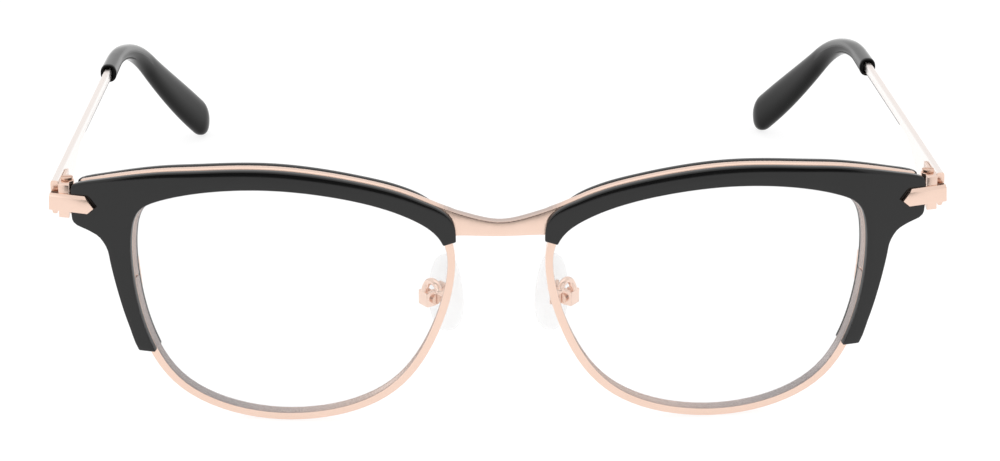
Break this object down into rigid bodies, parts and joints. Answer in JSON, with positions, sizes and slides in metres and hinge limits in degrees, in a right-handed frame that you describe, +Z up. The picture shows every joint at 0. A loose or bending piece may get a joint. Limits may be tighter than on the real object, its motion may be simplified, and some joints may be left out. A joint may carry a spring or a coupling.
{
  "type": "browline glasses",
  "caption": "Browline glasses with black acetate browpieces, metal bridge, rims and arrow end plaques, clear lenses, rocking nose pads and temples that fold on three-knuckle hinges.",
  "frame": {"origin": "centre of the footprint, on the surface the open glasses stand on", "axes": "+Z up, +Y from the front back along the temples, +X towards the wearer's left, so the lenses face -Y"},
  "size_m": [0.1408, 0.1418, 0.0423],
  "materials": {
    "gold": "polished rose gold plating",
    "screw_metal": "turned, satin",
    "acetate": "polished black acetate",
    "lens": "clear, polished",
    "silicone": "clear, slightly milky silicone"
  },
  "bodies": {
    "front": {"bridge_bar": "gold", "brow_right": "acetate", "brow_left": "acetate", "eyewire_right": "gold", "eyewire_left": "gold", "lens_right": "lens", "lens_left": "lens", "rim_lock_right": "gold", "rim_lock_left": "gold", "rim_lock_screws": "screw_metal", "endpiece_right": "gold", "endpiece_left": "gold", "endpiece_rivets": "screw_metal", "front_hinge_right": "gold", "front_hinge_left": "gold", "hinge_screw_right": "screw_metal", "hinge_screw_left": "screw_metal", "brow_screws": "screw_metal", "pad_arm_right": "gold", "pad_arm_left": "gold", "pad_screw_right": "screw_metal", "pad_screw_left": "screw_metal"},
    "temple_right": {"temple_hinge_right": "gold", "temple_right": "gold", "tip_right": "acetate"},
    "temple_left": {"temple_hinge_left": "gold", "temple_left": "gold", "tip_left": "acetate"},
    "pad_right": {"pad_core_right": "screw_metal", "nose_pad_right": "silicone"},
    "pad_left": {"pad_core_left": "screw_metal", "nose_pad_left": "silicone"}
  },
  "joints": [
    {"name": "temple_left_fold", "type": "hinge", "parent": "front", "child": "temple_left", "pos_m": [0.0677, -0.05987, 0.03504], "axis": [0, 0.0559, 0.9984], "range_deg": [0, 82]},
    {"name": "temple_right_fold", "type": "hinge", "parent": "front", "child": "temple_right", "pos_m": [-0.0677, -0.05987, 0.03504], "axis": [0, -0.0559, -0.9984], "range_deg": [0, 70]},
    {"name": "pad_left_rock", "type": "hinge", "parent": "front", "child": "pad_left", "pos_m": [0.0109, -0.06151, 0.01799], "axis": [0.5736, 0.8191, 0.0028], "range_deg": [-12, 12]},
    {"name": "pad_right_rock", "type": "hinge", "parent": "front", "child": "pad_right", "pos_m": [-0.0109, -0.06151, 0.01799], "axis": [-0.5736, 0.8191, 0.0028], "range_deg": [-12, 12]}
  ]
}
